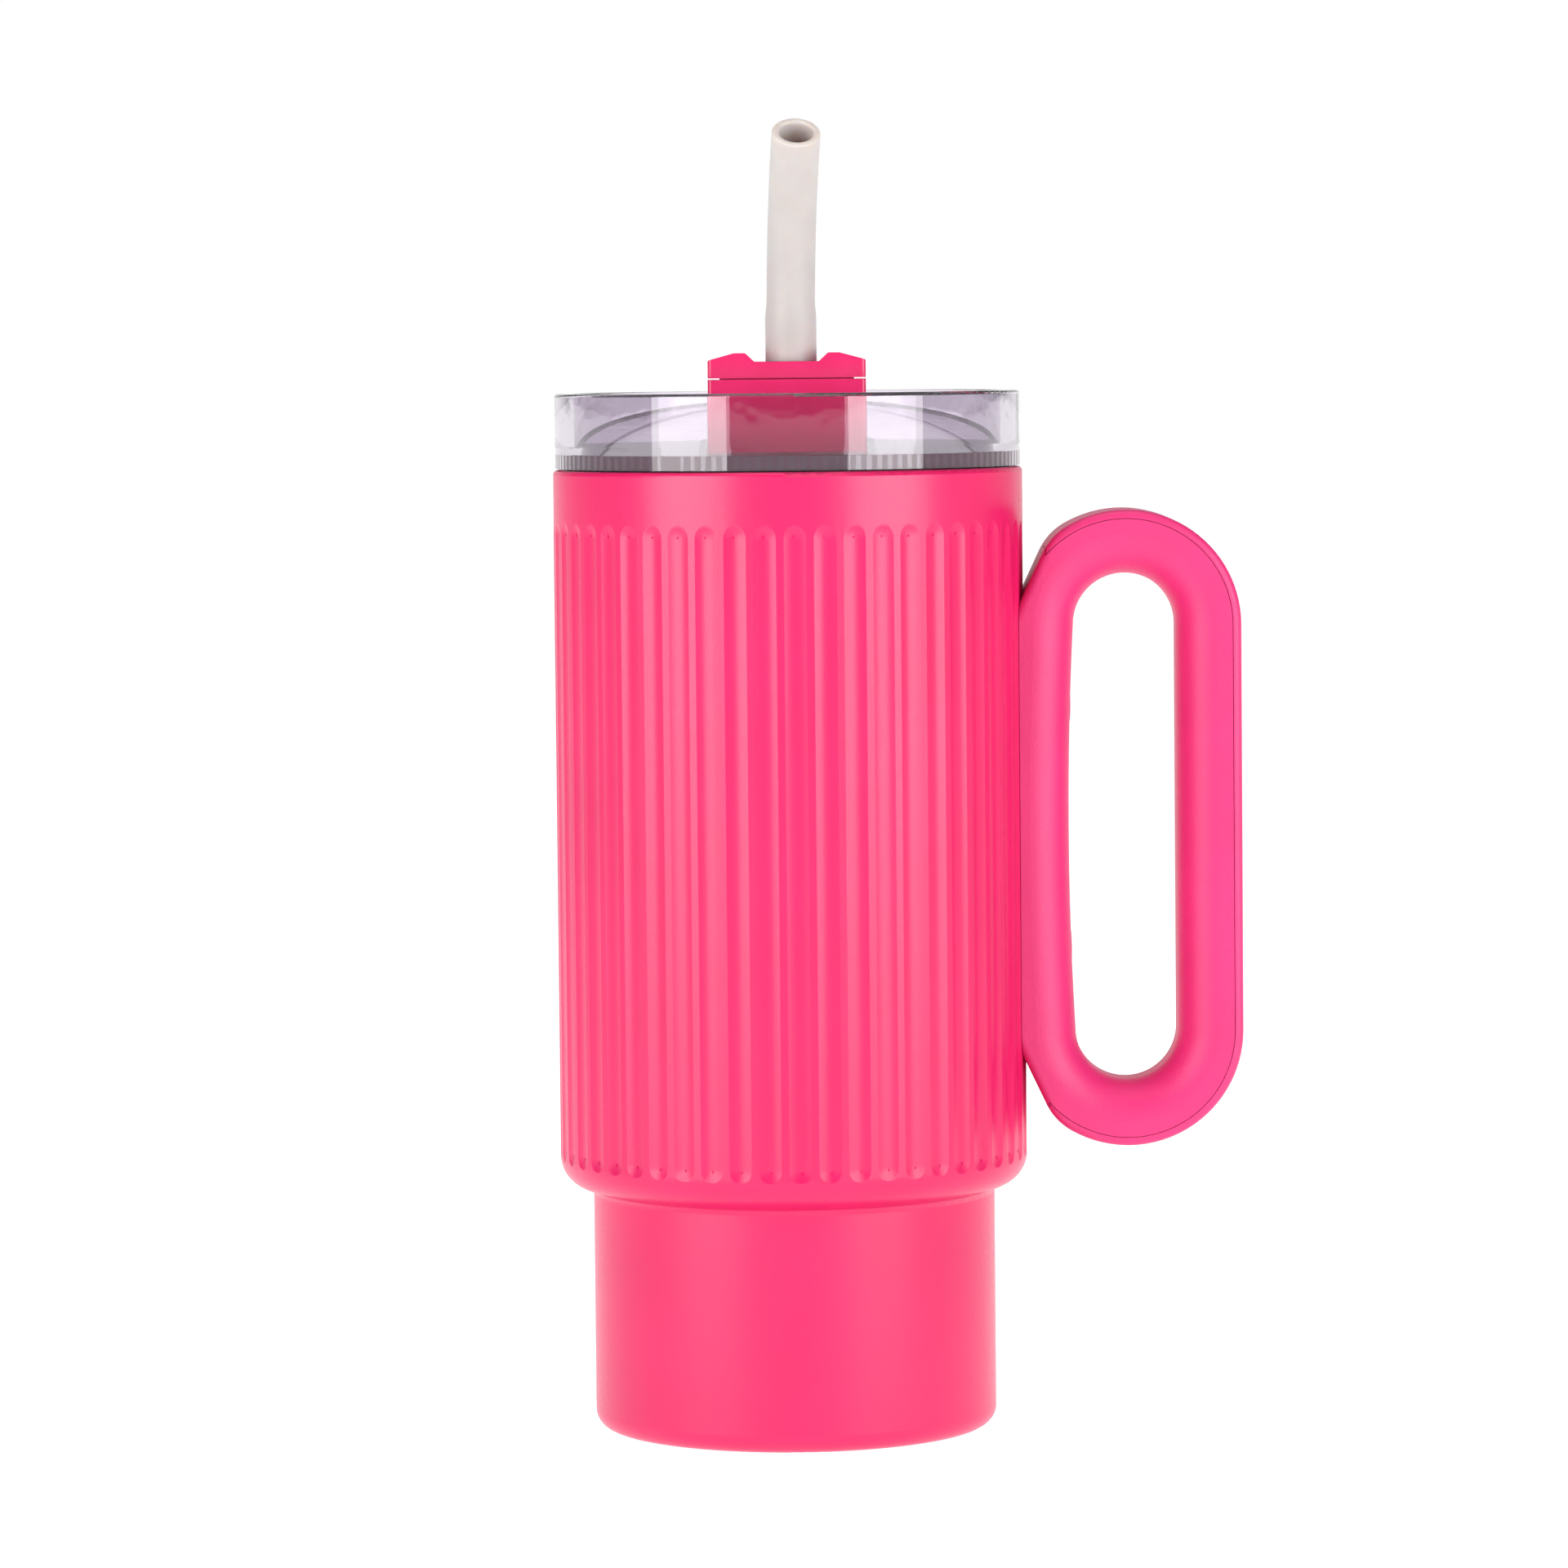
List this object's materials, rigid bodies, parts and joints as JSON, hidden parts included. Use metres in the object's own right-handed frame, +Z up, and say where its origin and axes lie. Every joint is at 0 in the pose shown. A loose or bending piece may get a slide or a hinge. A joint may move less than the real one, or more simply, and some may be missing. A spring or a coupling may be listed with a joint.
{
  "type": "insulated travel mug",
  "caption": "Double-walled travel mug with a fluted upper body, narrow cup-holder base, loop handle and a clear lid with a flip-up drinking spout and straw.",
  "frame": {"origin": "centre of the flat underside that the mug stands on, on the cup's axis", "axes": "+Z up the cup's axis, +X towards the handle, -Y towards the drinker's side, where the upright spout leans"},
  "size_m": [0.1357, 0.093, 0.2596],
  "materials": {
    "powder_coat": "satin powder coat with a fine grain, hot pink",
    "bare_steel": "electropolished stainless steel",
    "handle_plastic": "moulded satin plastic, hot pink",
    "spout_plastic": "moulded satin plastic, hot pink",
    "smoke_clear_plastic": "clear copolyester with a faint smoke tint, polished",
    "dark_silicone": "matt grey silicone",
    "clear_silicone": "translucent silicone",
    "ivory_silicone": "satin ivory silicone",
    "straw_plastic": "translucent white plastic",
    "seal_glass": "fused sealing bead",
    "getter_alloy": "sintered getter disc"
  },
  "bodies": {
    "cup": {"outer_shell": "powder_coat", "inner_liner": "bare_steel", "base_disc": "bare_steel", "base_pad": "dark_silicone", "vacuum_seal": "seal_glass", "getter": "getter_alloy", "handle_frame": "handle_plastic", "handle_cover": "handle_plastic", "handle_studs": "bare_steel", "handle_screws": "bare_steel", "screw_caps": "handle_plastic"},
    "lid": {"lid_body": "smoke_clear_plastic", "lid_gasket": "dark_silicone", "vent_valve": "clear_silicone", "spout_housing": "spout_plastic", "well_gasket": "dark_silicone", "valve_seat": "dark_silicone", "hinge_pins": "bare_steel", "straw_tube": "straw_plastic"},
    "flip_spout": {"spout_carrier": "spout_plastic", "spout": "ivory_silicone"}
  },
  "joints": [
    {"name": "lid_lift", "type": "slide", "parent": "cup", "child": "lid", "axis": [0, 0, 1], "range_m": [0, 0.19]},
    {"name": "spout_fold", "type": "hinge", "parent": "lid", "child": "flip_spout", "pos_m": [0, -0.0035, 0.2036], "axis": [-1, 0, 0], "range_deg": [0, 80]}
  ]
}
